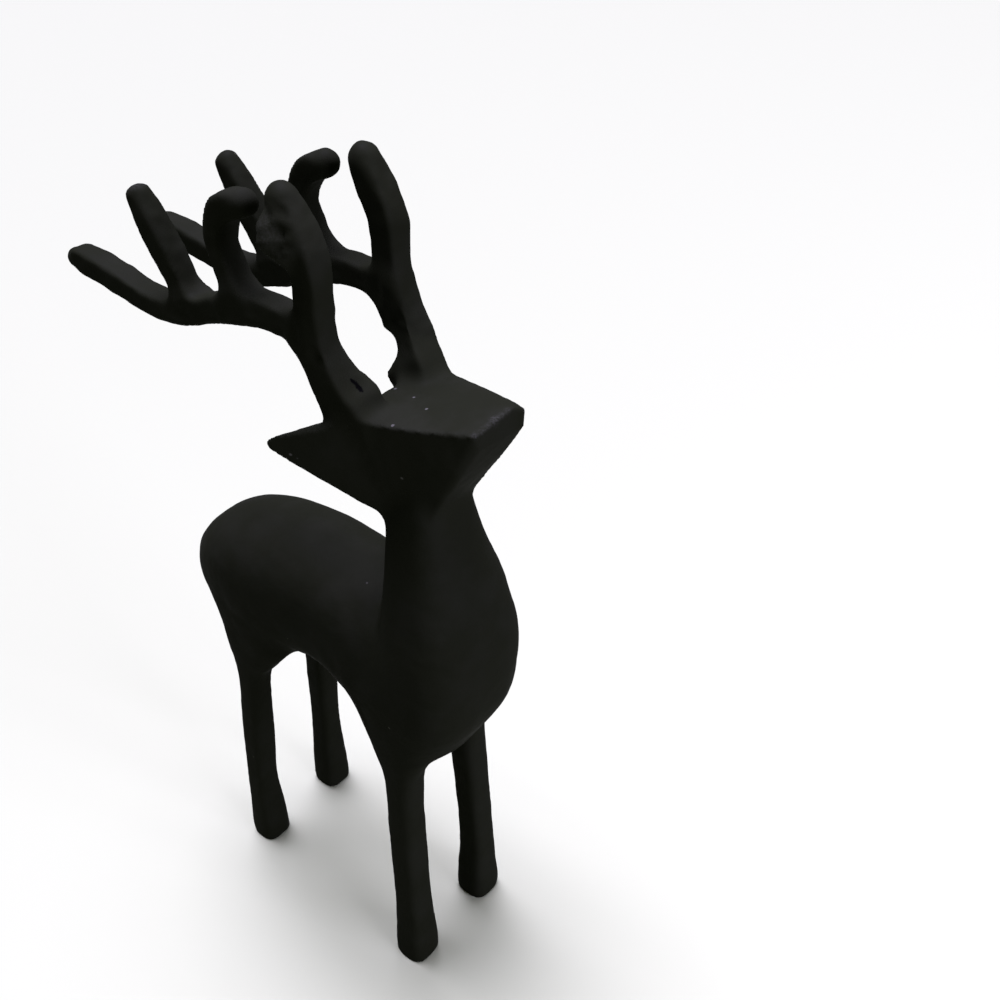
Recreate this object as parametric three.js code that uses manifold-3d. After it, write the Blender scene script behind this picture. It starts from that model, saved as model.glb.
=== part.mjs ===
// A cast iron stag, standing on four squared legs, with a wedge-shaped head, swept-back ears and two branched
// antlers that lie in planes beside each other. It is one casting.
// Millimetres, +Z up, +X towards the nose, +Y to the stag's left. The origin is on the ground, below the
// middle of the stag's outer box.
import * as THREE from "three";
import { ConvexGeometry } from "three/addons/geometries/ConvexGeometry.js";
import { mergeVertices } from "three/addons/utils/BufferGeometryUtils.js";
import Module from "manifold-3d";

// Driving dimensions.
const FRONT_FOOT_X = 42.8;
const HIND_FOOT_X = -21.4;
const FORE_STANCE = 13.6; // from the middle plane to the middle of a foot
const HIND_STANCE = 13.4;
const FORE_LEG_HALF = 4.1; // half the side of a leg at its thinnest
const HIND_LEG_HALF = 3.75;
const FORE_HIP_X = 39.4;
const FORE_HIP_HALF = 11.9; // half the length of the shoulder that a front leg grows from
const HIND_HIP_X = -13.3;
const HIND_HIP_HALF = 13.4;
const TORSO_HALF_WIDTH = 16.5;
const TORSO_HALF_HEIGHT = 20;
const NECK_HALF_WIDTH = 8.5; // at the throat
const NECK_HALF_LENGTH = 7.6;
const NOSE_X = 62;
const BROW_X = 31.8; // back edge of the flat top of the head
const BROW_TOP = 184.2;
const BROW_HALF_WIDTH = 13.6;
const EAR_TIP_X = 16.2;
const EAR_TIP_Y = 21;
const EAR_TIP_Z = 175.4;
const ANTLER_Y = 11.5; // from the middle plane to the plane of an antler
const TINE_HALF = 2.95; // half the thickness of an antler's branches

// Sections from one end of a limb to the other. The last number of a row of the torso, neck or leg says how
// square the section is: 2 is an ellipse, and a larger number is squarer.

// Along the torso, from rump to chest: x, height of the middle, half width and half height as shares of the
// torso's own.
const TORSO = [
  [-36.9, 93.9, 0.05, 0.06, 2.1],
  [-35.5, 94.8, 0.3, 0.38, 2.1],
  [-32.2, 96.9, 0.56, 0.63, 2.2],
  [-27, 100.4, 0.83, 0.86, 2.4],
  [-15, 106.9, 1, 1.005, 2.5],
  [2, 112.6, 0.97, 0.965, 2.5],
  [16, 113.3, 0.96, 0.915, 2.5],
  [34, 110.6, 1.03, 1, 2.7],
  [46, 107, 0.9, 1, 2.6],
];
// Up the chest and neck: x of the middle, height, half width and half length as shares of the neck's own.
const NECK = [
  [45.5, 92.5, 1.6, 1.1, 2.6],
  [46.5, 104, 2.02, 1.6, 2.8],
  [46.8, 120, 2.02, 1.71, 3],
  [46.2, 135, 1.67, 1.5, 3],
  [44.2, 150, 1.28, 1.18, 3],
  [43, 160, 1.06, 1.04, 3],
  [43, 172, 0.88, 0.98, 3],
];
// Down a leg: height, how far the leg has leaned from the foot to the hip, distance from the middle plane as a
// share of the stance, half width as a share of the leg's own, half length as a share of the hip's and of the
// leg's own.
const LEG = [
  [106, 1, 0.52, 1.25, 0.8, 0, 2.4],
  [98, 1, 0.77, 1.4, 1.02, 0, 2.7],
  [86.5, 0.75, 0.86, 1.15, 0.68, 0, 3],
  [75, 0.55, 0.89, 1, 0, 1.15, 3.2],
  [50, 0.3, 0.96, 1, 0, 1.02, 4],
  [26, 0.07, 1, 1, 0, 1, 4.4],
  [6, 0, 1, 1.26, 0, 1.26, 3.6],
  [0, 0, 1, 1.3, 0, 1.3, 3],
];
// Along the branches of an antler: x, height, half width across the antler's plane and half thickness in it as
// shares of a tine's own, and distance from the middle plane as a share of the antler's. The last number says
// how far forward of that x the right antler's branch is set, and how far back the left one's is.
const TRUNK = [
  [33, 176, 0.85, 0.7, 0.66, 0],
  [32.2, 184, 1.35, 2, 0.81, 0],
  [29.3, 190.5, 1.3, 1.55, 0.93, 0],
  [25.9, 198.5, 1.08, 1.36, 1, 0.2],
  [25.3, 207, 1, 1.14, 1, 0.8],
  [24.8, 217, 1.1, 1.2, 1, 1],
  [19.8, 226.8, 1.06, 1.2, 1, 0.9],
];
const BEAM = [
  [24.5, 201, 1, 1, 1, 0],
  [11, 200.8, 1, 1.12, 1, 0],
  [-2, 196.9, 1.04, 1.06, 1, 0],
  [-15, 191.1, 1.04, 0.94, 1, 0],
  [-27, 189, 1.02, 0.94, 1, 0],
  [-40, 190.1, 0.98, 1.02, 1, 0],
  [-52, 190.9, 0.94, 1.02, 1, 0],
  [-56.2, 190.2, 0.84, 0.88, 1, 0],
];
const HOOK = [
  [4.2, 197.5, 0.8, 1.5, 1, 0.4],
  [2.8, 203.5, 1, 0.92, 1, 0.5],
  [-0.4, 212.5, 1, 0.9, 1, 0.7],
  [2.7, 220, 1, 1, 1, 0.4],
  [8.1, 222.8, 1, 1, 1, 0.8],
];
const REAR_TINE = [
  [-13, 190.5, 0.8, 1.4, 1, -1.6],
  [-14.1, 197, 0.96, 1.06, 1, -1.4],
  [-19.5, 205.5, 0.94, 1.12, 1, -0.9],
  [-25.6, 214.8, 0.9, 1.06, 1, -0.4],
];
const ANTLER_SQUARENESS = 4.2;
const TIP_SQUARENESS = 2.5;

// Corners of the nose's blunt end, which leans a little to the left: x, y, height.
const NOSE = [
  [NOSE_X, -6.8, 190.1],
  [NOSE_X, 4, 190.9],
  [NOSE_X - 2, 7.9, 189.5],
  [NOSE_X, 8.8, 188.2], // the left upper corner is rounded off
  [NOSE_X - 0.4, 9, 184],
  [NOSE_X - 0.4, -5.2, 185.9],
];
// Corners of the left half of the head behind the nose: x, distance from the middle plane, height.
const HEAD = [
  [51, 9.8, 187.9], // edge of the flat top, which swells a little
  [BROW_X, BROW_HALF_WIDTH, BROW_TOP],
  [30, 9, 170], // back of the head
  [36.5, 7.5, 157], // inside the neck
  [47, 6, 158],
  [52.5, 3.6, 169], // throat
];
// Corners of the left ear, in the same order of numbers.
const EAR = [
  [37, 11.8, BROW_TOP + 0.8], // root on the edge of the brow
  [27, 8, 180.2],
  [27, 12, 179.7],
  [EAR_TIP_X + 1.7, EAR_TIP_Y - 0.5, EAR_TIP_Z + 2.1], // blunt tip
  [EAR_TIP_X, EAR_TIP_Y - 0.7, EAR_TIP_Z],
  [EAR_TIP_X + 0.8, EAR_TIP_Y, EAR_TIP_Z - 1.3],
  [EAR_TIP_X + 3, EAR_TIP_Y - 2.8, EAR_TIP_Z - 1.9],
  [40, 7.5, 158.5], // lower end on the neck
  [33, 7.4, 157.9],
];

const DOME_STEPS = 4;
const DOME_LEAD = 0.4; // share of a step by which each ring of a dome is drawn in
const WELD = 1e-4; // corners closer than this are one
const ACROSS = new THREE.Vector3(0, 1, 0);

// A smooth curve through rows of three numbers: points of a path, or the half sizes and squareness along it.
function curveThrough(rows) {
  const points = rows.map((row) => new THREE.Vector3(...row));
  return new THREE.CatmullRomCurve3(points, false, "catmullrom", 0.5);
}

// A closed skin carried along a path. Each section is a superellipse, square to the path, with one half size
// across the stag and one square to that. A dome is the length of a rounded end, and 0 leaves the end flat.
// The first corner of a section is turned by a share of the step from one corner to the next.
function loft(stations, { sides, rings, domes = [0, 0], turned = 0 }) {
  const path = curveThrough(stations.map((s) => s.at));
  const size = curveThrough(stations.map((s) => [s.wide, s.deep, s.square]));
  const points = [];

  function addRing(t, push, share) {
    const along = path.getTangent(t);
    const middle = path.getPoint(t).addScaledVector(along, push);
    const half = size.getPoint(t);
    const wide = ACROSS.clone().addScaledVector(along, -ACROSS.dot(along)).normalize();
    const deep = along.clone().cross(wide);
    for (let j = 0; j < sides; j++) {
      const angle = (2 * Math.PI * (j + turned)) / sides;
      const c = Math.cos(angle);
      const s = Math.sin(angle);
      const reach = share * (Math.abs(c) ** half.z + Math.abs(s) ** half.z) ** (-1 / half.z);
      const point = middle.clone();
      point.addScaledVector(wide, reach * c * half.x);
      point.addScaledVector(deep, reach * s * half.y);
      points.push(point);
    }
  }

  function addDome(t, length, steps) {
    for (const step of steps) {
      const turn = ((Math.PI / 2) * (step - DOME_LEAD)) / DOME_STEPS;
      addRing(t, length * Math.sin(turn), Math.cos(turn));
    }
  }

  const outward = Array.from({ length: DOME_STEPS }, (_, k) => k + 1);
  if (domes[0] > 0) addDome(0, -domes[0], outward.toReversed());
  for (let i = 0; i <= rings; i++) addRing(i / rings, 0, 1);
  if (domes[1] > 0) addDome(1, domes[1], outward);

  const faces = [];
  const first = points.length;
  for (let row = 0; row < first - sides; row += sides) {
    for (let j = 0; j < sides; j++) {
      const a = row + j;
      const b = row + ((j + 1) % sides);
      faces.push(a, b, a + sides, b, b + sides, a + sides);
    }
  }
  points.push(path.getPoint(0).addScaledVector(path.getTangent(0), -domes[0]));
  points.push(path.getPoint(1).addScaledVector(path.getTangent(1), domes[1]));
  for (let j = 0; j < sides; j++) {
    const next = (j + 1) % sides;
    faces.push(first, next, j);
    faces.push(first + 1, first - sides + j, first - sides + next);
  }
  return new THREE.BufferGeometry().setFromPoints(points).setIndex(faces);
}

function torso() {
  const stations = TORSO.map(([x, z, wide, deep, square]) => ({
    at: [x, 0, z],
    wide: wide * TORSO_HALF_WIDTH,
    deep: deep * TORSO_HALF_HEIGHT,
    square,
  }));
  return loft(stations, { sides: 24, rings: 26, domes: [0, 4] });
}

function neck() {
  const stations = NECK.map(([x, z, wide, deep, square]) => ({
    at: [x, 0, z],
    wide: wide * NECK_HALF_WIDTH,
    deep: deep * NECK_HALF_LENGTH,
    square,
  }));
  return loft(stations, { sides: 24, rings: 18, domes: [5, 0] });
}

// Corners given for the left half, on the sides that are named: 1 is left and -1 is right.
function onSides(corners, sides) {
  return sides.flatMap((side) => corners.map(([x, y, z]) => [x, side * y, z]));
}

// A faceted form over a few corners.
function facets(corners) {
  return new ConvexGeometry(corners.map((corner) => new THREE.Vector3(...corner)));
}

// The head is a wedge: flat on top, blunt at the nose, and tapering down to the throat and neck.
function head() {
  return facets([...onSides(HEAD, [1, -1]), ...NOSE]);
}

// An ear is a fin that carries on the side of the head outwards and back, down to the neck.
function ear(side) {
  return facets(onSides(EAR, [side]));
}

function leg(footX, hipX, hipHalf, legHalf, stance) {
  const stations = LEG.map(([z, lean, out, wide, hipShare, legShare, square]) => ({
    at: [footX + lean * (hipX - footX), out * stance, z],
    wide: wide * legHalf,
    deep: hipShare * hipHalf + legShare * legHalf,
    square,
  }));
  return loft(stations, { sides: 16, rings: 20 });
}

// A branch has flat sides and chamfered edges, and its section gets rounder towards the tip.
function branch(rows, side, { rings, tip }) {
  const stations = rows.map(([x, z, wide, deep, out, forward], k) => ({
    at: [x - side * forward, side * out * ANTLER_Y, z],
    wide: wide * TINE_HALF,
    deep: deep * TINE_HALF,
    square: k < rows.length - 1 ? ANTLER_SQUARENESS : TIP_SQUARENESS,
  }));
  return loft(stations, { sides: 12, rings, domes: [0, tip], turned: 0.5 });
}

// An antler is a trunk that ends in the front tine, a beam that sweeps back from it, a hooked tine that rises
// from the beam and curls forwards, and a rear tine that leans back.
function antler(side) {
  return [
    branch(TRUNK, side, { rings: 16, tip: 3.5 }),
    branch(BEAM, side, { rings: 17, tip: 3 }),
    branch(HOOK, side, { rings: 12, tip: 3 }),
    branch(REAR_TINE, side, { rings: 8, tip: 2 }),
  ];
}

const wasm = await Module();
wasm.setup();

function solid(geometry) {
  geometry.deleteAttribute("normal");
  const merged = mergeVertices(geometry, WELD);
  return new wasm.Manifold(
    new wasm.Mesh({
      numProp: 3,
      vertProperties: merged.getAttribute("position").array,
      triVerts: new Uint32Array(merged.index.array),
    }),
  );
}

function casting() {
  const limbs = [torso(), neck(), head()];
  for (const side of [1, -1]) {
    limbs.push(ear(side));
    limbs.push(leg(FRONT_FOOT_X, FORE_HIP_X, FORE_HIP_HALF, FORE_LEG_HALF, side * FORE_STANCE));
    limbs.push(leg(HIND_FOOT_X, HIND_HIP_X, HIND_HIP_HALF, HIND_LEG_HALF, side * HIND_STANCE));
    limbs.push(...antler(side));
  }
  const joined = wasm.Manifold.union(limbs.map(solid)).getMesh();
  const geometry = new THREE.BufferGeometry();
  geometry.setAttribute("position", new THREE.BufferAttribute(joined.vertProperties, 3));
  geometry.setIndex(new THREE.BufferAttribute(joined.triVerts, 1));
  geometry.computeBoundingBox();
  const box = geometry.boundingBox;
  geometry.translate(-(box.min.x + box.max.x) / 2, -(box.min.y + box.max.y) / 2, -box.min.z);
  geometry.computeVertexNormals();
  return geometry;
}

const blackIron = new THREE.MeshStandardMaterial({ color: 0x1d1d1b, roughness: 0.75, metalness: 0.2 });
const stag = new THREE.Mesh(casting(), blackIron);
stag.name = "stag";

const part = new THREE.Group();
part.add(stag);

export default part;
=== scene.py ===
import math

import bmesh
import bpy
import numpy as np
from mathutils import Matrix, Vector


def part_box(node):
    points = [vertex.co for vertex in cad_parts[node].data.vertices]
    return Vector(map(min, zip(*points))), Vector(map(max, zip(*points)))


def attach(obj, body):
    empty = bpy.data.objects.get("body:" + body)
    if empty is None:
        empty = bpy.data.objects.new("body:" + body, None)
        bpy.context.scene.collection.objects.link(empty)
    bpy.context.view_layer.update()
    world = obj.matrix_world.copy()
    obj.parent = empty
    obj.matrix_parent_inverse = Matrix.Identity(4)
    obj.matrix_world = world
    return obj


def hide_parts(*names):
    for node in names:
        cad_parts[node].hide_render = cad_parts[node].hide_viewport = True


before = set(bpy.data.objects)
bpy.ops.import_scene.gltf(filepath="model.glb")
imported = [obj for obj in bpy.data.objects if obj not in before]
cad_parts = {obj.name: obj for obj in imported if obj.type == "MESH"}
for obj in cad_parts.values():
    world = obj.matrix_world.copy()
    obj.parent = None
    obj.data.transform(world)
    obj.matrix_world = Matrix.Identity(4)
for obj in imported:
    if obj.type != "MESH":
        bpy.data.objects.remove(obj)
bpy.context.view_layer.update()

import openvdb
from bpy.props import FloatProperty, FloatVectorProperty, PointerProperty
from mathutils import Matrix, Vector

bl_info = {
    "name": "Cast iron stag",
    "version": (1, 0, 0),
    "blender": (4, 5, 0),
    "location": "View3D > Sidebar > Iron stag",
    "description": "Makes the skin, finish and stage of a small cast iron stag",
    "category": "Add Mesh",
}

MM = 0.001

# Driving dimensions of the casting, in millimetres.
FRONT_FOOT_X = 42.8
HIND_FOOT_X = -21.4
FORE_STANCE = 13.6  # from the middle plane to the middle of a foot
HIND_STANCE = 13.4
FORE_LEG_HALF = 4.1  # half the side of a leg at its thinnest
HIND_LEG_HALF = 3.75
FORE_HIP_X = 39.4
FORE_HIP_HALF = 11.9  # half the length of the shoulder that a front leg grows from
HIND_HIP_X = -13.3
HIND_HIP_HALF = 13.4
TORSO_HALF_WIDTH = 16.5
TORSO_HALF_HEIGHT = 20
NECK_HALF_WIDTH = 8.5
NECK_HALF_LENGTH = 7.6
NOSE_X = 62
BROW_X = 31.8  # back edge of the flat top of the head
BROW_TOP = 184.2
BROW_HALF_WIDTH = 13.6
EAR_TIP_X = 16.2
EAR_TIP_Y = 21
EAR_TIP_Z = 175.4
ANTLER_Y = 11.5  # from the middle plane to the plane of an antler
TINE_HALF = 2.88  # half the thickness of an antler's branches

# Sections from one end of a limb to the other, as shares of the limb's own half sizes. The last number of
# a body row says how square the section is: 2 is an ellipse, and a larger number is squarer.

# Along the torso, from rump to chest: x, height of the middle, half width, half height, squareness.
TORSO = [
    (-36.9, 93.9, 0.05, 0.06, 2.1),
    (-35.5, 94.8, 0.3, 0.38, 2.1),
    (-32.2, 96.9, 0.56, 0.63, 2.2),
    (-27, 100.4, 0.83, 0.86, 2.4),
    (-15, 106.9, 1, 1.005, 2.5),
    (2, 112.6, 0.97, 0.965, 2.5),
    (16, 113.3, 0.96, 0.915, 2.5),
    (34, 110.6, 1.03, 1, 2.7),
    (46, 107, 0.9, 1, 2.6),
]
# Up the chest and neck: x of the middle, height, half width, half length, squareness.
NECK = [
    (45.5, 92.5, 1.6, 1.1, 2.6),
    (46.5, 104, 2.02, 1.6, 2.8),
    (46.8, 120, 2.02, 1.71, 3),
    (46.2, 135, 1.67, 1.5, 3),
    (44.2, 150, 1.28, 1.18, 3),
    (43, 160, 1.06, 1.04, 3),
    (43, 172, 0.88, 0.98, 3),
]
# Down a leg: height, how far the leg has leaned from the foot to the hip, distance from the middle plane as
# a share of the stance, half width, half length as a share of the hip's and of the leg's own, squareness.
LEG = [
    (106, 1, 0.52, 1.25, 0.8, 0, 2.4),
    (98, 1, 0.77, 1.4, 1.02, 0, 2.7),
    (86.5, 0.75, 0.86, 1.15, 0.68, 0, 3),
    (75, 0.55, 0.89, 1, 0, 1.15, 3.2),
    (50, 0.3, 0.96, 1, 0, 1.02, 4),
    (26, 0.07, 1, 1, 0, 1, 4.4),
    (6, 0, 1, 1.26, 0, 1.26, 3.6),
    (0, 0, 1, 1.3, 0, 1.3, 3),
]
# Along the branches of an antler: x, height, half width across the antler's plane, half thickness in it,
# the distance from the middle plane as a share of the antler's, and how far forward of that x the right
# antler's branch is set, in millimetres, while the left one's is set as far back.
TRUNK = [
    (33, 176, 0.85, 0.7, 0.66, 0),
    (32.2, 184, 1.35, 2, 0.81, 0),
    (29.3, 190.5, 1.3, 1.55, 0.93, 0),
    (25.9, 198.5, 1.08, 1.36, 1, 0.2),
    (25.3, 207, 1, 1.14, 1, 0.8),
    (24.8, 217, 1.1, 1.2, 1, 1),
    (19.8, 226.8, 1.06, 1.2, 1, 0.9),
]
BEAM = [
    (24.5, 201, 1, 1, 1, 0),
    (11, 200.8, 1, 1.12, 1, 0),
    (-2, 196.9, 1.04, 1.06, 1, 0),
    (-15, 191.1, 1.04, 0.94, 1, 0),
    (-27, 189, 1.02, 0.94, 1, 0),
    (-40, 190.1, 0.98, 1.02, 1, 0),
    (-52, 190.9, 0.94, 1.02, 1, 0),
    (-56.2, 190.2, 0.84, 0.88, 1, 0),
]
HOOK = [
    (4.2, 197.5, 0.8, 1.5, 1, 0.4),
    (2.8, 203.5, 1, 0.92, 1, 0.5),
    (-0.4, 212.5, 1, 0.9, 1, 0.7),
    (2.7, 220, 1, 1, 1, 0.4),
    (8.1, 222.8, 1, 1, 1, 0.8),
]
REAR_TINE = [
    (-13, 190.5, 0.8, 1.4, 1, -1.6),
    (-14.1, 197, 0.96, 1.06, 1, -1.4),
    (-19.5, 205.5, 0.94, 1.12, 1, -0.9),
    (-25.6, 214.8, 0.9, 1.06, 1, -0.4),
]
ANTLER_SQUARENESS = 8
TIP_SQUARENESS = 2.5
# Lengths of the rounded ends.
CHEST_DOME = 4
NECK_DOME = 5  # at the neck's lower end, inside the chest
TRUNK_TIP = 3.5
BEAM_TIP = 3
HOOK_TIP = 3
REAR_TIP = 2

# Corners of the nose's blunt end, which leans a little to the left: x, y, height.
NOSE = [
    (NOSE_X, -6.8, 190.1),
    (NOSE_X, 4, 190.9),
    (NOSE_X - 2, 7.9, 189.5),
    (NOSE_X, 8.8, 188.2),
    (NOSE_X - 0.4, 9, 184),
    (NOSE_X - 0.4, -5.2, 185.9),
]
# Corners of the left half of the head behind the nose: x, distance from the middle plane, height.
HEAD = [
    (51, 9.8, 187.9),
    (BROW_X, BROW_HALF_WIDTH, BROW_TOP),
    (30, 9, 170),
    (36.5, 7.5, 157),
    (47, 6, 158),
    (52.5, 3.6, 169),
]
# Corners of the left ear, in the same order of numbers.
EAR = [
    (37, 11.8, BROW_TOP + 0.8),
    (27, 8, 180.2),
    (27, 12, 179.7),
    (EAR_TIP_X + 1.7, EAR_TIP_Y - 0.5, EAR_TIP_Z + 2.1),
    (EAR_TIP_X, EAR_TIP_Y - 0.7, EAR_TIP_Z),
    (EAR_TIP_X + 0.8, EAR_TIP_Y, EAR_TIP_Z - 1.3),
    (EAR_TIP_X + 3, EAR_TIP_Y - 2.8, EAR_TIP_Z - 1.9),
    (40, 7.5, 158.5),
    (33, 7.4, 157.9),
]

# Bites out of the casting, each a ball: place and radius.
BITES = [
    ((23.5, 5.1, 187.8), 5.5),  # inner back corner of the left trunk
]
# Marks of the mould and of handling on the skin: place, radius, and height, which is below zero for a pit.
MARKS = [
    ((28.4, -14.2, 197.7), 3.04, -0.55),  # pit on the side of the right trunk
    ((34.3, -9.6, 191.2), 2.56, -0.4),  # hollow round the crack at the root of the right trunk
    ((28.6, 5.6, 184.6), 4.8, 0.7),  # lump behind the left trunk
    ((29.5, 7.6, 193.8), 7.36, -1),  # hollow up the inside of the left trunk
    ((27, 8.6, 203.5), 4.8, 0.5),  # swelling above it
    ((19.9, -14.6, 220), 8, 3.2),  # stub on the back of the right front tine
    ((23.7, -14.7, 226), 2.08, -0.7),  # groove in front of the stub, in three steps
    ((23.4, -14.7, 222.8), 2.08, -0.6),
    ((23.1, -14.6, 219.6), 2.08, -0.8),
    ((32.3, -6.2, 188.5), 6.72, 1.4),  # swelling at the inner root of the right trunk
]
# Faces left rough and torn by the mould: place, radius and height.
TORN = [
    ((20.2, -15, 220.5), 8, 2),  # stub on the right front tine
    ((29.5, 8, 195), 8, 0.25),  # inside of the left trunk
]
# Pale specks where the black has been knocked off: place and radius.
SPECKS = [
    ((-3.4, -8.0, 128.9), 0.55),
    ((1.9, -4.9, 130.8), 0.3),
    ((44.1, -8.9, 172.7), 0.45),
    ((46.4, -12.3, 22.9), 0.4),
    ((21.1, -13.8, 228.2), 0.45),
    ((26.0, -13.7, 218.0), 0.45),
    ((25.2, -14.2, 216.9), 0.45),
    ((25.1, 10.9, 224.5), 0.4),
    ((33.1, 1.6, 184.5), 0.5),
    ((44, -10.3, 186.6), 0.5),
    ((46, -2.7, 187.3), 0.45),
    ((40, 0, 186), 0.4),
    ((22.8, -18.0, 172.6), 0.4),
    ((-18.8, -16.5, 40.5), 0.5),
    ((26.6, -5.5, 130.9), 0.4),
    ((38.5, -12, 137.6), 0.3),
    ((5.6, -15.4, 105.8), 0.4),
]
# Painted shade inside the cracks and pits of the casting, as dark spots: place and radius.
CRACK_SHADES = [
    ((32.9, -10.2, 192.5), 0.4),
    ((33.2, -10.1, 192.3), 0.5),
    ((33.5, -9.9, 192.1), 0.6),
    ((33.8, -9.7, 191.8), 0.65),
    ((34.1, -9.6, 191.5), 0.65),
    ((34.3, -9.6, 191.1), 0.7),
    ((34.6, -9.5, 190.8), 0.7),
    ((34.8, -9.5, 190.4), 0.65),
    ((35.1, -9.4, 190.1), 0.5),
    ((28.6, -14.4, 197.6), 0.6),
]
# Rubbed places that show more grey, and a painted highlight along the top edge of the nose: place, radius
# and strength.
RUBS_AND_SHEEN = [
    ((-27, -11, 216.4), 3.6, 0.4),  # tip of the right rear tine
    ((19.8, -16.5, 222), 6, 0.1),  # stub on the right front tine
    ((20.8, -16, 217), 5.5, 0.1),
    # Painted highlight along the top edge of the nose, laid on as rubs.
    ((61.8, -6.3, 190), 1.2, 0.2),  # along the top edge of the nose
    ((61.9, -4.2, 190.2), 1.2, 0.15),
    ((61.9, -2.3, 190.4), 1.3, 0.17),
    ((61.7, -0.4, 190.5), 1.7, 0.35),
    ((61.9, 1.6, 190.7), 1.2, 0.17),
    ((61.9, 3.4, 190.8), 1.2, 0.15),
]

# Heights between which one part of the stag passes into the next.
CHEST = (106, 128)
ANTLER_ROOT = (186, 194)
LEG_TOP = (70, 90)
SOLE = (0, 4)

CHEST_REACH = (2, 0.7)  # the neck's fillet at the bottom and top of CHEST, as shares of the body's
EDGE_BEND = (0.28, 0.75)  # outward bends between which an edge is rubbed, in 1/mm
SETTLE_ROUNDS = 4
DOME_STEPS = 12
RINGS = 150
SIDES = 96
BAND = 11  # cells on each side of a limb's skin in which its distance is known
TINY = 1e-9

# The camera: place in the stag's own millimetres, direction in degrees round the stag and above the ground,
# and focal length as a share of the image's side.
CAMERA_PLACE = (176.1, -137.6, 316)
CAMERA_AZIMUTH = 39.52
CAMERA_ELEVATION = 39.09
CAMERA_ROLL = 0.12
CAMERA_FOCUS = 1.1466
SENSOR = 36.0

# The stage, in metres.
TOP_SPREAD = 36.0  # degrees that the overhead light spans, for soft shadows
TOP_FROM = (-0.24, 0.1, 1)  # the side that the overhead light comes from
FRONT_LAMP_PLACE = (1.05, 0.04, 0.52)
FRONT_LAMP_AIM = (0, 0, 0.12)
FRONT_LAMP_SIZE = 0.55
FLOOR_HALF = 3.0
POOL = (0.08, 0.36)  # distances from the origin between which the floor's bounce is dimmed


class CastingSizes(bpy.types.PropertyGroup):
    """Sizes of the casting's skin"""

    cell: FloatProperty(
        name="Cell",
        description="Spacing of the grid that the limbs are joined on",
        default=0.7 * MM,
        unit="LENGTH",
    )
    body_fillet: FloatProperty(
        name="Body fillet",
        description="Reach of the round where a leg or the neck grows out of the body",
        default=5 * MM,
        unit="LENGTH",
    )
    head_fillet: FloatProperty(
        name="Head fillet",
        description="Reach of the round where the head and ears meet the neck",
        default=1.8 * MM,
        unit="LENGTH",
    )
    trunk_fillet: FloatProperty(
        name="Trunk fillet",
        description="Reach of the sweep from the top of the head up into an antler",
        default=3.2 * MM,
        unit="LENGTH",
    )
    tine_fillet: FloatProperty(
        name="Tine fillet",
        description="Reach of the round between two branches of an antler",
        default=5 * MM,
        unit="LENGTH",
    )
    lump: FloatProperty(
        name="Lumps",
        description="Height of the soft unevenness of the whole skin",
        default=0.2 * MM,
        unit="LENGTH",
    )
    chip: FloatProperty(
        name="Chip marks",
        description="Depth of the shallow scoops left from carving the pattern",
        default=0.42 * MM,
        unit="LENGTH",
    )
    grain: FloatProperty(
        name="Grain",
        description="Height of the sand grain on the skin",
        default=0.045 * MM,
        unit="LENGTH",
    )


class FinishColours(bpy.types.PropertyGroup):
    """Colours of the iron's finish"""

    iron: FloatVectorProperty(
        name="Black",
        description="Colour of the matte black coat",
        default=(0.0046, 0.0053, 0.0025),
        subtype="COLOR",
        size=3,
    )
    dusty: FloatVectorProperty(
        name="Dusty black",
        description="Colour of the greyer patches of the coat",
        default=(0.0057, 0.0064, 0.0034),
        subtype="COLOR",
        size=3,
    )
    # Also laid along the nose's top edge, where it is a painted highlight.
    worn: FloatVectorProperty(
        name="Worn iron",
        description="Colour of edges where the coat is rubbed thin",
        default=(0.045, 0.046, 0.036),
        subtype="COLOR",
        size=3,
    )
    pale: FloatVectorProperty(
        name="Pale specks",
        description="Colour of specks and of rubbed tips",
        default=(0.032, 0.0325, 0.0245),
        subtype="COLOR",
        size=3,
    )
    # Painted shade: the near-black inside cracks and pits.
    crack_shade: FloatVectorProperty(
        name="Crack shade",
        description="Colour inside cracks and pits",
        default=(0.0004, 0.0004, 0.0003),
        subtype="COLOR",
        size=3,
    )


class StageLight(bpy.types.PropertyGroup):
    """Light and floor of the stage"""

    floor: FloatVectorProperty(
        name="Floor",
        description="Colour of the plain floor",
        default=(0.174, 0.192, 0.111),
        subtype="COLOR",
        size=3,
    )
    bounce: FloatProperty(
        name="Floor bounce",
        description="Share of its light that the floor away from the feet sends on to the stag",
        default=0.46,
        subtype="FACTOR",
    )
    top: FloatProperty(
        name="Top light",
        description="Light that falls on the floor from overhead, in watts a square metre",
        default=16.0,
    )
    top_colour: FloatVectorProperty(
        name="Top light colour",
        description="Cool colour of the lamps",
        default=(1.0, 0.9, 1.58),
        subtype="COLOR",
        size=3,
    )
    front_watts: FloatProperty(
        name="Front light",
        description="Power of the soft lamp in front of the stag",
        default=20.0,
        unit="POWER",
    )
    room: FloatProperty(
        name="Room light",
        description="Brightness of the even light from all around",
        default=0.2,
    )
    room_colour: FloatVectorProperty(
        name="Room light colour",
        description="Colour of the light from all around, a little olive",
        default=(1.0, 1.05, 0.75),
        subtype="COLOR",
        size=3,
    )
    backdrop: FloatVectorProperty(
        name="Backdrop",
        description="Pale colour that is seen behind the floor",
        default=(0.95, 0.95, 0.95),
        subtype="COLOR",
        size=3,
    )


def unit(vectors):
    """Each vector divided by its length."""
    return vectors / np.maximum(np.linalg.norm(vectors, axis=-1, keepdims=True), TINY)


def smooth_step(values, low, high):
    """0 up to low and 1 from high, with 3t^2 - 2t^3 between them."""
    t = np.clip((values - low) / (high - low), 0, 1)
    return t * t * (3 - 2 * t)


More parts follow.
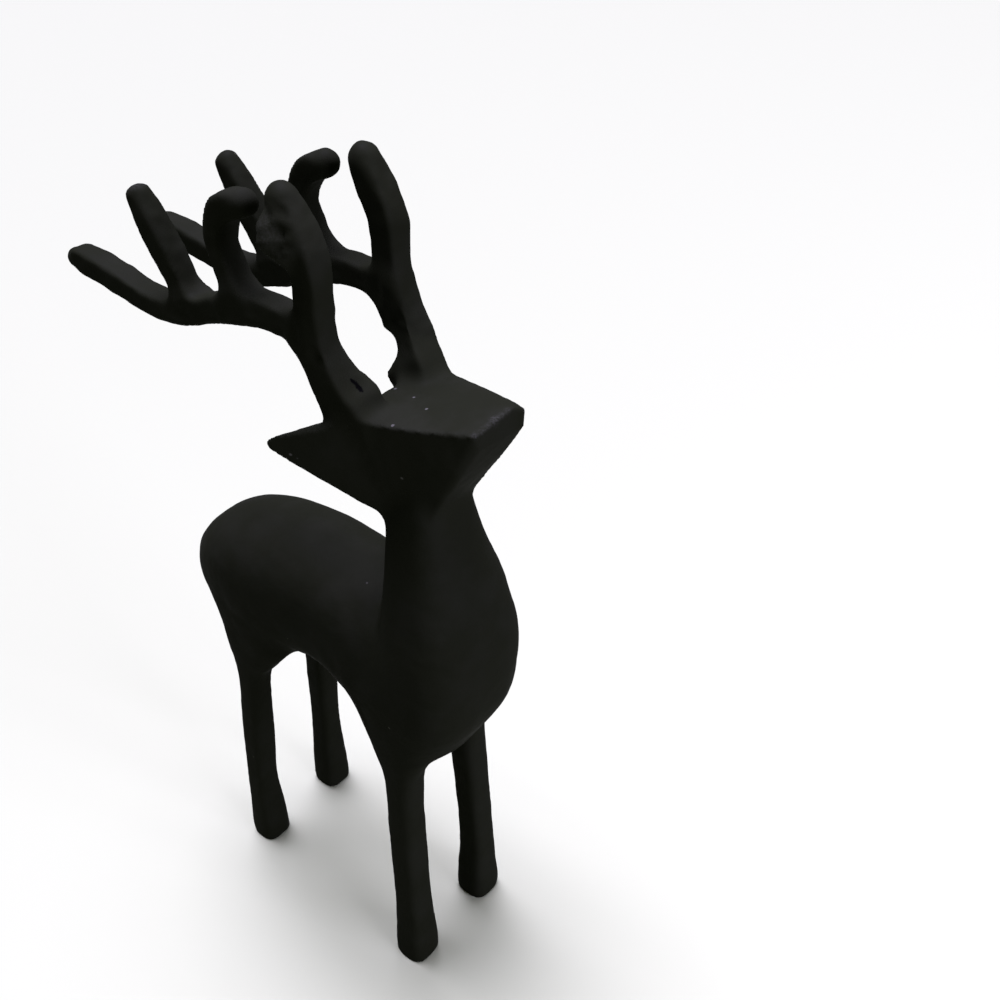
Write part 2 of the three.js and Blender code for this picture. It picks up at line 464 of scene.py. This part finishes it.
def curve_through(rows, count):
    """Values and slopes at even steps of a curve through the rows. Between two rows it is a cubic whose
    slope at each row is half the difference of the rows before and after it."""
    padded = np.vstack([2 * rows[0] - rows[1], rows, 2 * rows[-1] - rows[-2]])
    place = np.linspace(0, len(rows) - 1, count)
    index = np.minimum(place.astype(int), len(rows) - 2)
    t = (place - index)[:, None]
    before, start, end, after = (padded[index + k] for k in range(4))
    into = (end - before) / 2
    out = (after - start) / 2
    cube = 2 * start - 2 * end + into + out
    square = 3 * end - 3 * start - 2 * into - out
    return ((cube * t + square) * t + into) * t + start, (3 * cube * t + 2 * square) * t + into


def loft(rows, domes=(0, 0)):
    """A closed skin carried along a path. A section is a superellipse |u/a|^n + |v/b|^n = 1 square to the
    path, with u across the stag. Its rows hold x, y, z, a, b and n. At an end the section shrinks by the
    cosine of an angle while it moves out by the dome's length times the sine."""
    values, slopes = curve_through(np.asarray(rows, float), RINGS)
    turn = np.linspace(math.pi / 2, 0, DOME_STEPS, endpoint=False)
    row = np.r_[np.zeros(DOME_STEPS, int), np.arange(RINGS), np.full(DOME_STEPS, RINGS - 1)]
    push = np.r_[-domes[0] * np.sin(turn), np.zeros(RINGS), domes[1] * np.sin(turn[::-1])]
    share = np.r_[np.cos(turn), np.ones(RINGS), np.cos(turn[::-1])]
    forward = unit(slopes[row, :3])
    across = unit(np.array([0, 1, 0]) - forward * forward[:, 1:2])
    deep = np.cross(forward, across)
    middle = values[row, :3] + push[:, None] * forward
    half = values[row, 3:5] * share[:, None]
    power = values[row, 5:6]
    angle = 2 * math.pi * np.arange(SIDES) / SIDES
    cos = np.cos(angle)
    sin = np.sin(angle)
    reach = (np.abs(cos) ** power + np.abs(sin) ** power) ** (-1 / power)
    u = (reach * cos * half[:, 0:1])[..., None]
    v = (reach * sin * half[:, 1:2])[..., None]
    points = middle[:, None] + u * across[:, None] + v * deep[:, None]
    corner = np.arange(len(row) * SIDES).reshape(len(row), SIDES)
    turned = np.roll(corner, -1, axis=1)
    faces = np.stack([corner[:-1], turned[:-1], turned[1:], corner[1:]], -1)
    return points.reshape(-1, 3), faces.reshape(-1, 4)


def hull(corners):
    """The tight faceted skin over a few corners."""
    mesh = bmesh.new()
    for corner in corners:
        mesh.verts.new(corner)
    bmesh.ops.convex_hull(mesh, input=mesh.verts)
    bmesh.ops.triangulate(mesh, faces=mesh.faces)
    mesh.verts.index_update()
    points = np.array([v.co for v in mesh.verts])
    faces = np.array([[v.index for v in f.verts] for f in mesh.faces])
    mesh.free()
    return points, faces


def mirrored(corners, sides):
    """Corners given for the left, on each of the sides: 1 is left and -1 is right."""
    return [(x, side * y, z) for side in sides for x, y, z in corners]


def torso_rows():
    """Rows of the torso: the table's shares times the torso's half sizes."""
    x, z, wide, deep, square = np.array(TORSO, float).T
    return np.column_stack([x, 0 * x, z, wide * TORSO_HALF_WIDTH, deep * TORSO_HALF_HEIGHT, square])


def neck_rows():
    """Rows of the chest and neck: the table's shares times the neck's half sizes."""
    x, z, wide, deep, square = np.array(NECK, float).T
    return np.column_stack([x, 0 * x, z, wide * NECK_HALF_WIDTH, deep * NECK_HALF_LENGTH, square])


def leg_rows(foot_x, hip_x, hip_half, leg_half, stance):
    """Rows of one leg: its middle leans from the foot to the hip, and its half length is the sum of a share
    of the hip's and a share of the leg's own."""
    z, lean, out, wide, hip_share, leg_share, square = np.array(LEG, float).T
    x = foot_x + lean * (hip_x - foot_x)
    deep = hip_share * hip_half + leg_share * leg_half
    return np.column_stack([x, out * stance, z, wide * leg_half, deep, square])


def branch_rows(rows, side):
    """Rows of one antler's branch on the left, 1, or the right, -1, with a rounder section at the tip."""
    x, z, wide, deep, out, forward = np.array(rows, float).T
    square = np.full(len(x), ANTLER_SQUARENESS)
    square[-1] = TIP_SQUARENESS
    x = x - side * forward
    y = side * out * ANTLER_Y
    return np.column_stack([x, y, z, wide * TINE_HALF, deep * TINE_HALF, square])


def limbs(sizes):
    """The skins of all limbs with the fillet that joins each to the ones before it, in millimetres. The
    neck's is a pair, for the bottom and the top of the chest."""
    body = sizes.body_fillet / MM
    brow = sizes.head_fillet / MM
    trunk = sizes.trunk_fillet / MM
    tine = sizes.tine_fillet / MM
    made = [(loft(torso_rows(), (0, CHEST_DOME)), 0)]
    made.append((loft(neck_rows(), (NECK_DOME, 0)), tuple(share * body for share in CHEST_REACH)))
    for side in (1, -1):
        fore = leg_rows(FRONT_FOOT_X, FORE_HIP_X, FORE_HIP_HALF, FORE_LEG_HALF, side * FORE_STANCE)
        hind = leg_rows(HIND_FOOT_X, HIND_HIP_X, HIND_HIP_HALF, HIND_LEG_HALF, side * HIND_STANCE)
        made += [(loft(fore), body), (loft(hind), body)]
    made.append((hull(mirrored(HEAD, (1, -1)) + NOSE), brow))
    made += [(hull(mirrored(EAR, (side,))), brow) for side in (1, -1)]
    for side in (1, -1):
        made.append((loft(branch_rows(TRUNK, side), (0, TRUNK_TIP)), trunk))
        for rows, tip in ((BEAM, BEAM_TIP), (HOOK, HOOK_TIP), (REAR_TINE, REAR_TIP)):
            made.append((loft(branch_rows(rows, side), (0, tip)), tine))
    return made


def distance_block(points, faces, cell):
    """Distance to a closed skin at the cells around it, below zero inside, and the first cell's index."""
    form = {"quads" if faces.shape[1] == 4 else "triangles": np.ascontiguousarray(faces, np.uint32)}
    volume = openvdb.FloatGrid.createLevelSetFromPolygons(
        np.ascontiguousarray(points, np.float32),
        transform=openvdb.createLinearTransform(voxelSize=cell),
        halfWidth=BAND,
        **form,
    )
    low, high = (np.array(c) for c in volume.evalActiveVoxelBoundingBox())
    block = np.empty(high - low + 1, np.float32)
    volume.copyToArray(block, ijk=tuple(int(i) for i in low))
    return low, block


def join(body, limb, fillet, cell):
    """Two distances joined: the lesser of them, lowered by (r - gap)^2 / 4r where they differ by less than
    the reach r, so that a crease turns into a round. The reach is the fillet times the square root of 1.1
    less the cosine of the angle between the two skins, kept from 0 to 1, so it is smaller where both face
    the same way."""
    agree = sum(a * b for a, b in zip(np.gradient(body, cell), np.gradient(limb, cell)))
    reach = np.maximum(fillet * np.sqrt(np.clip(1.1 - agree, 0, 1)), TINY)
    soft = np.maximum(reach - np.abs(body - limb), 0)
    return np.minimum(body, limb) - soft * soft / (4 * reach)


class Field:
    """Distance to the casting's skin on a regular grid, below zero inside, in millimetres."""

    def __init__(self, parts, cell):
        blocks = [distance_block(*skin, cell) for skin, _ in parts]
        self.cell = cell
        self.low = np.min([low for low, _ in blocks], axis=0) - 1
        high = np.max([low + block.shape for low, block in blocks], axis=0) + 1
        self.values = np.full(high - self.low, BAND * cell, np.float32)
        for (low, block), (_, fillet) in zip(blocks, parts):
            window = tuple(slice(a, a + n) for a, n in zip(low - self.low, block.shape))
            height = (low[2] + np.arange(block.shape[2])) * cell
            reach = np.interp(height, CHEST, np.broadcast_to(fillet, 2))
            self.values[window] = join(self.values[window], block, reach, cell)
        for place, radius in BITES:
            self.carve(np.array(place), radius)

    def carve(self, place, radius):
        """Cuts a ball out of the casting: the greater of the distance and the depth inside the ball."""
        low = np.floor((place - radius) / self.cell).astype(int) - 1
        count = int(2 * radius / self.cell) + 4
        cells = np.stack(np.meshgrid(*(start + np.arange(count) for start in low), indexing="ij"), -1)
        depth = radius - np.linalg.norm(cells * self.cell - place, axis=-1)
        window = tuple(slice(start, start + count) for start in low - self.low)
        self.values[window] = np.maximum(self.values[window], depth)

    def skin(self):
        """Points and four-cornered faces of the surface where the distance is zero."""
        volume = openvdb.FloatGrid(BAND * self.cell)
        volume.transform = openvdb.createLinearTransform(voxelSize=self.cell)
        volume.copyFromArray(self.values, ijk=tuple(int(i) for i in self.low))
        points, faces = volume.convertToQuads(isovalue=0.0)
        return points.astype(float), faces.astype(int)

    def at(self, points):
        """Distance at any points, by straight-line mixing of the eight cells around each."""
        place = points / self.cell - self.low
        index = np.clip(place.astype(int), 0, np.array(self.values.shape) - 2)
        t = place - index
        total = np.zeros(len(points))
        for corner in np.ndindex(2, 2, 2):
            weight = np.prod(np.where(corner, t, 1 - t), axis=1)
            total += weight * self.values[tuple((index + corner).T)]
        return total

    def slope(self, points):
        """Direction in which the distance grows, from differences over one cell along each axis."""
        steps = np.eye(3) * self.cell / 2
        return np.stack([self.at(points + s) - self.at(points - s) for s in steps], -1) / self.cell


def neighbour_mean(values, edges):
    """The mean over each point's neighbours along the edges."""
    count = len(values)
    both = np.r_[edges, edges[:, ::-1]]
    degree = np.maximum(np.bincount(both[:, 0], minlength=count), 1)
    columns = [np.bincount(both[:, 0], weights=c[both[:, 1]], minlength=count) for c in values.T]
    return np.stack(columns, -1) / degree[:, None]


def edges_of(faces):
    """Every side of the faces once."""
    sides = np.concatenate([faces[:, [k, (k + 1) % 4]] for k in range(4)])
    return np.unique(np.sort(sides, axis=1), axis=0)


def settle(field, points, edges, rounds):
    """Points evened out along the skin: each round moves a point half way to its neighbours' mean and then
    back along the slope to where the distance is zero. The squared slope is taken as 0.2 at least, which
    keeps that step short where the distance hardly changes."""
    for _ in range(rounds):
        points = points + 0.5 * (neighbour_mean(points, edges) - points)
        slope = field.slope(points)
        steep = np.maximum((slope * slope).sum(-1), 0.2)
        points = points - slope * (field.at(points) / steep)[:, None]
    return points


def soft_noise(points, wave, seed):
    """Smooth random heights between -1 and 1: values at the corners of a lattice of that wavelength, mixed
    by a fifth-power ease inside each of its cubes."""
    size = 32
    table = np.random.default_rng(seed).uniform(-1, 1, (size, size, size))
    place = points / wave
    index = np.floor(place).astype(int)
    t = place - index
    t = t * t * t * (t * (6 * t - 15) + 10)
    total = np.zeros(len(points))
    for corner in np.ndindex(2, 2, 2):
        weight = np.prod(np.where(corner, t, 1 - t), axis=1)
        total += weight * table[tuple(((index + corner) % size).T)]
    return total


def scoops(points, size, seed):
    """Shallow scoops side by side: the squared distance to the nearest of many scattered points, one in
    each cube of a lattice, so that it is lowest in the middle of a scoop and makes a ridge between two.
    Its mean, about 0.3, is taken off."""
    count = 32
    scatter = np.random.default_rng(seed).uniform(0, 1, (count, count, count, 3))
    place = points / size
    index = np.floor(place).astype(int)
    nearest = np.full(len(points), np.inf)
    for step in np.ndindex(3, 3, 3):
        cube = index + np.array(step) - 1
        offset = place - cube - scatter[tuple((cube % count).T)]
        nearest = np.minimum(nearest, (offset * offset).sum(-1))
    return np.minimum(nearest, 1) - 0.3


def bell(points, place, radius):
    """1 at the place and 0 from the radius on, with (1 - d^2/r^2)^2 at a distance d between them."""
    near = 1 - ((points - place) ** 2).sum(-1) / radius**2
    return np.maximum(near, 0) ** 2


def rough(points):
    """Heights of the torn faces: two sizes of fine noise that fade out as a bell."""
    total = sum(height * bell(points, place, radius) for place, radius, height in TORN)
    return total * (soft_noise(points, wave=2.6, seed=17) + 0.7 * soft_noise(points, wave=1.5, seed=18))


def marks(points):
    """Heights of the placed lumps, grooves and pits, each a bell."""
    return sum(height * bell(points, place, radius) for place, radius, height in MARKS)


def relief(points, sizes):
    """Height of the skin above the plain casting, in millimetres: broad and narrow lumps, scoops that are
    wide on the body and narrow on the antlers, two sizes of grain, and the placed marks and torn faces. The
    soles stay flat."""
    antler = smooth_step(points[:, 2], *ANTLER_ROOT)
    leg = 1 - smooth_step(points[:, 2], *LEG_TOP)
    lump = soft_noise(points, wave=15, seed=11) + 0.55 * soft_noise(points, wave=6.5, seed=12)
    wide = 0.4 * scoops(points, size=15, seed=13) * (1 - antler)
    chip = wide + 0.6 * antler * scoops(points, size=6, seed=14)
    grain = soft_noise(points, wave=2.4, seed=15) + 0.7 * soft_noise(points, wave=1.5, seed=16)
    height = sizes.lump * lump * (1 - 0.3 * leg) + sizes.chip * chip + sizes.grain * grain * (1 + antler)
    return height / MM * smooth_step(points[:, 2], *SOLE) + marks(points) + rough(points)


def roundness(points, edges, normals):
    """How sharply the skin bends outwards at each point, in 1/mm: twice the height of a point above its
    neighbours' mean over the mean squared length of an edge, evened out once."""
    rise = ((points - neighbour_mean(points, edges)) * normals).sum(-1)
    length = ((points[edges[:, 0]] - points[edges[:, 1]]) ** 2).sum(-1).mean()
    return neighbour_mean((2 * rise / length)[:, None], edges)[:, 0]


def rubbed(points):
    """Strength of the placed rubs and of the painted highlight along the nose's top edge, each a bell, with
    the strongest one where they overlap.
    """
    return np.max([strength * bell(points, place, radius) for place, radius, strength in RUBS_AND_SHEEN], axis=0)


def point_values(mesh, name, values):
    """Stores one number for each point of a mesh."""
    mesh.attributes.new(name, "FLOAT", "POINT").data.foreach_set("value", values.astype(np.float32))


def fitted(points):
    """Points in the frame's place and metres, with the nose at the frame's front end."""
    return np.asarray(points) * MM + (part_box("stag")[1].x - NOSE_X * MM, 0, 0)


def new_group(name, inputs, outputs):
    """A shader node group with named sockets, and its ends."""
    group = bpy.data.node_groups.new(name, "ShaderNodeTree")
    for label, kind, value in inputs:
        socket = group.interface.new_socket(label, in_out="INPUT", socket_type=kind)
        if value is not None:
            socket.default_value = value
    for label, kind in outputs:
        group.interface.new_socket(label, in_out="OUTPUT", socket_type=kind)
    return group, group.nodes.new("NodeGroupInput"), group.nodes.new("NodeGroupOutput")


def node(tree, kind, settings=None, **links):
    """A node with its settings, whose inputs are fed by sockets or set to plain values."""
    made = tree.nodes.new(kind)
    for label, value in (settings or {}).items():
        setattr(made, label, value)
    for label, value in links.items():
        key = int(label[1:]) if label[1:].isdigit() else label.replace("_", " ")
        if isinstance(value, bpy.types.NodeSocket):
            tree.links.new(value, made.inputs[key])
        else:
            made.inputs[key].default_value = value
    return made


def noise(tree, place, scale, detail=2.0, roughness=0.5):
    """Even noise around 0.5 at that many waves a metre."""
    made = node(tree, "ShaderNodeTexNoise", Vector=place, Scale=scale, Detail=detail, Roughness=roughness)
    return made.outputs["Fac"]


def ramp(tree, value, low, high, to_low=0.0, to_high=1.0):
    """A value eased from one range to another and kept inside it."""
    made = node(
        tree,
        "ShaderNodeMapRange",
        {"interpolation_type": "SMOOTHSTEP"},
        Value=value,
        From_Min=low,
        From_Max=high,
        To_Min=to_low,
        To_Max=to_high,
    )
    return made.outputs["Result"]


def math_node(tree, operation, first, second):
    """One sum, product or other arithmetic of two values."""
    return node(tree, "ShaderNodeMath", {"operation": operation}, _0=first, _1=second).outputs[0]


def mixed(tree, share, first, second):
    """One colour over another."""
    made = node(tree, "ShaderNodeMix", {"data_type": "RGBA"}, _0=share, _6=first, _7=second)
    return made.outputs[2]


def sand_grain_group():
    """Grain of a sand mould: a height for bump, and patches where the coat is greyer."""
    group, start, end = new_group(
        "Sand grain",
        [("Vector", "NodeSocketVector", None)],
        [("Height", "NodeSocketFloat"), ("Patches", "NodeSocketFloat"), ("Grit", "NodeSocketFloat")],
    )
    place = start.outputs["Vector"]
    coarse = noise(group, place, 700.0, 3.0, 0.6)
    fine = noise(group, place, 2300.0, 2.0, 0.6)
    cells = {"Vector": place, "Scale": 420.0, "Smoothness": 0.6}
    pits = node(group, "ShaderNodeTexVoronoi", {"feature": "SMOOTH_F1"}, **cells)
    pocket = ramp(group, pits.outputs["Distance"], 0.05, 0.3)
    height = math_node(group, "MULTIPLY", coarse, 0.55)
    height = math_node(group, "ADD", height, math_node(group, "MULTIPLY", fine, 0.3))
    height = math_node(group, "ADD", height, math_node(group, "MULTIPLY", pocket, 0.25))
    group.links.new(height, end.inputs["Height"])
    broad = noise(group, place, 75.0, 4.0, 0.55)
    group.links.new(ramp(group, broad, 0.4, 0.68), end.inputs["Patches"])
    group.links.new(ramp(group, fine, 0.3, 0.75), end.inputs["Grit"])
    return group


def spots(group, place, ragged, mask, placed):
    """A mask with round spots added, each where the distance to its place is under its radius, with a
    ragged rim."""
    for centre, radius in placed:
        ends = {"_0": place, "_1": fitted(centre)}
        gap = node(group, "ShaderNodeVectorMath", {"operation": "DISTANCE"}, **ends).outputs["Value"]
        gap = math_node(group, "ADD", gap, math_node(group, "MULTIPLY", ragged, 0.5 * radius * MM))
        spot = ramp(group, gap, 0.7 * radius * MM, 1.2 * radius * MM, 1.0, 0.0)
        mask = math_node(group, "MAXIMUM", mask, spot)
    return mask


def specks_group():
    """Placed pale specks with a scatter of tiny ones at the middles of a few cells of a cellular pattern,
    and the placed dark spots of painted shade inside cracks and pits."""
    group, start, end = new_group(
        "Specks and crack shade",
        [("Vector", "NodeSocketVector", None)],
        [("Specks", "NodeSocketFloat"), ("Crack shade", "NodeSocketFloat")],
    )
    place = start.outputs["Vector"]
    ragged = noise(group, place, 1800.0, 2.0)
    cells = node(group, "ShaderNodeTexVoronoi", {"feature": "F1"}, Vector=place, Scale=95.0)
    chosen = node(group, "ShaderNodeSeparateColor", None, Color=cells.outputs["Color"]).outputs["Red"]
    small = ramp(group, cells.outputs["Distance"], 0.02, 0.045, 1.0, 0.0)
    scatter = math_node(group, "MULTIPLY", small, ramp(group, chosen, 0.82, 0.85))
    group.links.new(spots(group, place, ragged, scatter, SPECKS), end.inputs["Specks"])
    group.links.new(spots(group, place, ragged, 0.0, CRACK_SHADES), end.inputs["Crack shade"])
    return group


def black_iron(colours):
    """Matte black coat on sand-cast iron: greyer patches, grit, rubbed edges, pale specks and painted shade
    inside cracks and pits, over a bump of sand grain. Edges and rubbed places, among them a painted
    highlight along the nose's top edge, come from values stored on the skin."""
    material = bpy.data.materials.new("black_iron")
    material.use_nodes = True
    tree = material.node_tree
    shader = tree.nodes["Principled BSDF"]
    shader.inputs["Metallic"].default_value = 0.0
    shader.inputs["Specular IOR Level"].default_value = 0.006
    place = node(tree, "ShaderNodeTexCoord").outputs["Object"]
    grain = node(tree, "ShaderNodeGroup", {"node_tree": sand_grain_group()}, Vector=place)
    specks = node(tree, "ShaderNodeGroup", {"node_tree": specks_group()}, Vector=place)
    edge = node(tree, "ShaderNodeAttribute", {"attribute_name": "edge"}).outputs["Fac"]
    rub_and_sheen = node(tree, "ShaderNodeAttribute", {"attribute_name": "rub_and_sheen"}).outputs["Fac"]
    grit = grain.outputs["Grit"]
    colour = mixed(tree, grain.outputs["Patches"], (*colours.iron, 1), (*colours.dusty, 1))
    worn = math_node(tree, "MULTIPLY", edge, math_node(tree, "MULTIPLY", grit, 0.06))
    colour = mixed(tree, worn, colour, (*colours.worn, 1))
    # Grey rubs on the tine tip and stub, and a painted highlight along the nose's top edge.
    colour = mixed(tree, math_node(tree, "MULTIPLY", rub_and_sheen, grit), colour, (*colours.worn, 1))
    # Painted shade inside the cracks and pits, as near-black spots.
    colour = mixed(tree, specks.outputs["Crack shade"], colour, (*colours.crack_shade, 1))
    colour = mixed(tree, specks.outputs["Specks"], colour, (*colours.pale, 1))
    tree.links.new(colour, shader.inputs["Base Color"])
    dull = ramp(tree, grain.outputs["Patches"], 0.0, 1.0, 0.62, 0.74)
    dull = math_node(tree, "SUBTRACT", dull, math_node(tree, "MULTIPLY", edge, 0.1))
    tree.links.new(dull, shader.inputs["Roughness"])
    height = grain.outputs["Height"]
    bump = node(tree, "ShaderNodeBump", None, Strength=0.35, Distance=0.12 * MM, Height=height)
    tree.links.new(bump.outputs["Normal"], shader.inputs["Normal"])
    return material


class STAG_OT_casting(bpy.types.Operator):
    """Makes the stag's skin: limbs joined with fillets, carved and cast unevenness, and its black finish"""

    bl_idname = "stag.casting"
    bl_label = "Stag casting"

    def execute(self, context):
        sizes = context.scene.stag_sizes
        field = Field(limbs(sizes), sizes.cell / MM)
        points, faces = field.skin()
        if len(faces) == 0:
            raise RuntimeError("the limbs made no skin")
        edges = edges_of(faces)
        points = settle(field, points, edges, SETTLE_ROUNDS)
        normals = unit(field.slope(points))
        edge = smooth_step(roundness(points, edges, normals), *EDGE_BEND)
        points = points + normals * relief(points, sizes)[:, None]
        points[:, 2] = np.maximum(points[:, 2], 0)
        mesh = bpy.data.meshes.new("stag_casting")
        mesh.from_pydata(fitted(points), [], faces)
        mesh.shade_smooth()
        point_values(mesh, "edge", edge)
        # Rubs, with the painted highlight along the nose's top edge.
        point_values(mesh, "rub_and_sheen", rubbed(points))
        mesh.materials.append(black_iron(context.scene.stag_colours))
        piece = bpy.data.objects.new("stag_casting", mesh)
        context.scene.collection.objects.link(piece)
        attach(piece, "root")
        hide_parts("stag")
        return {"FINISHED"}


def aimed(place, target):
    """A matrix at a place that looks along its own -Z at the target."""
    direction = Vector(place) - Vector(target)
    return Matrix.Translation(place) @ direction.to_track_quat("Z", "Y").to_matrix().to_4x4()


class STAG_OT_stage(bpy.types.Operator):
    """Makes the floor, the lamps and the camera"""

    bl_idname = "stag.stage"
    bl_label = "Stage"

    def execute(self, context):
        scene = context.scene
        light = scene.stag_light
        self.add_floor(scene, light)
        top = bpy.data.lights.new("top_light", "SUN")
        top.energy = light.top
        top.color = light.top_colour
        top.angle = math.radians(TOP_SPREAD)
        self.add_lamp(scene, top, TOP_FROM, (0, 0, 0))
        front = bpy.data.lights.new("front_light", "AREA")
        front.energy = light.front_watts
        front.color = light.top_colour
        front.size = FRONT_LAMP_SIZE
        self.add_lamp(scene, front, FRONT_LAMP_PLACE, FRONT_LAMP_AIM)
        self.add_room(scene, light)
        scene.view_settings.view_transform = "Standard"
        self.add_camera(scene)
        return {"FINISHED"}

    @staticmethod
    def add_room(scene, light):
        """Even light from all around, with a pale backdrop for the camera."""
        world = bpy.data.worlds.new("room")
        world.use_nodes = True
        tree = world.node_tree
        even = (*(light.room * value for value in light.room_colour), 1)
        seen = node(tree, "ShaderNodeLightPath").outputs["Is Camera Ray"]
        colour = mixed(tree, seen, even, (*light.backdrop, 1))
        tree.links.new(colour, tree.nodes["Background"].inputs["Color"])
        scene.world = world

    @staticmethod
    def add_floor(scene, light):
        """A flat square of plain pale floor. The light that it sends on to the stag is dimmed away from the
        feet, so that the sides of the head and antlers stay dark."""
        corners = np.array([(-1, -1, 0), (1, -1, 0), (1, 1, 0), (-1, 1, 0)]) * FLOOR_HALF
        mesh = bpy.data.meshes.new("floor")
        mesh.from_pydata(corners, [], [(0, 1, 2, 3)])
        material = bpy.data.materials.new("pale_floor")
        material.use_nodes = True
        tree = material.node_tree
        shader = tree.nodes["Principled BSDF"]
        pale = (*light.floor, 1)
        dim = (*(light.bounce * value for value in light.floor), 1)
        place = node(tree, "ShaderNodeTexCoord").outputs["Object"]
        gap = node(tree, "ShaderNodeVectorMath", {"operation": "LENGTH"}, _0=place).outputs["Value"]
        sent = mixed(tree, ramp(tree, gap, *POOL), pale, dim)
        seen = node(tree, "ShaderNodeLightPath").outputs["Is Camera Ray"]
        tree.links.new(mixed(tree, seen, sent, pale), shader.inputs["Base Color"])
        shader.inputs["Roughness"].default_value = 0.9
        shader.inputs["Specular IOR Level"].default_value = 0.1
        mesh.materials.append(material)
        floor = bpy.data.objects.new("floor", mesh)
        scene.collection.objects.link(floor)

    @staticmethod
    def add_lamp(scene, lamp, place, target):
        """A lamp that looks at a target."""
        made = bpy.data.objects.new(lamp.name, lamp)
        made.matrix_world = aimed(place, target)
        scene.collection.objects.link(made)

    @staticmethod
    def add_camera(scene):
        """A camera whose axes come from its angles round the stag and above the ground."""
        around = math.radians(CAMERA_AZIMUTH)
        above = math.radians(CAMERA_ELEVATION)
        level = Vector((math.sin(around), -math.cos(around), 0))
        back = level * math.cos(above) + Vector((0, 0, math.sin(above)))
        right = Vector((math.cos(around), math.sin(around), 0))
        axes = Matrix((right, back.cross(right), back)).transposed()
        roll = Matrix.Rotation(math.radians(CAMERA_ROLL), 3, "Z")
        lens = bpy.data.cameras.new("camera")
        lens.sensor_width = SENSOR
        lens.lens = SENSOR * CAMERA_FOCUS
        lens.clip_start = 0.01
        camera = bpy.data.objects.new("camera", lens)
        camera.matrix_world = Matrix.Translation(fitted(CAMERA_PLACE)) @ (axes @ roll).to_4x4()
        scene.collection.objects.link(camera)
        scene.camera = camera


class STAG_PT_sidebar(bpy.types.Panel):
    """Lists the stag's pieces and their settings"""

    bl_idname = "STAG_PT_sidebar"
    bl_label = "Iron stag"
    bl_space_type = "VIEW_3D"
    bl_region_type = "UI"
    bl_category = "Iron stag"

    def draw(self, context):
        for operator, group in (
            ("stag.casting", context.scene.stag_sizes),
            (None, context.scene.stag_colours),
            ("stag.stage", context.scene.stag_light),
        ):
            box = self.layout.box()
            if operator:
                box.operator(operator)
            for label in group.bl_rna.properties.keys():
                if label not in ("rna_type", "name"):
                    box.prop(group, label)


CLASSES = (CastingSizes, FinishColours, StageLight, STAG_OT_casting, STAG_OT_stage, STAG_PT_sidebar)


def register():
    for cls in CLASSES:
        bpy.utils.register_class(cls)
    bpy.types.Scene.stag_sizes = PointerProperty(type=CastingSizes)
    bpy.types.Scene.stag_colours = PointerProperty(type=FinishColours)
    bpy.types.Scene.stag_light = PointerProperty(type=StageLight)


def unregister():
    del bpy.types.Scene.stag_sizes
    del bpy.types.Scene.stag_colours
    del bpy.types.Scene.stag_light
    for cls in reversed(CLASSES):
        bpy.utils.unregister_class(cls)


def main():
    register()
    bpy.ops.stag.casting()
    bpy.ops.stag.stage()


if __name__ == "__main__":
    main()
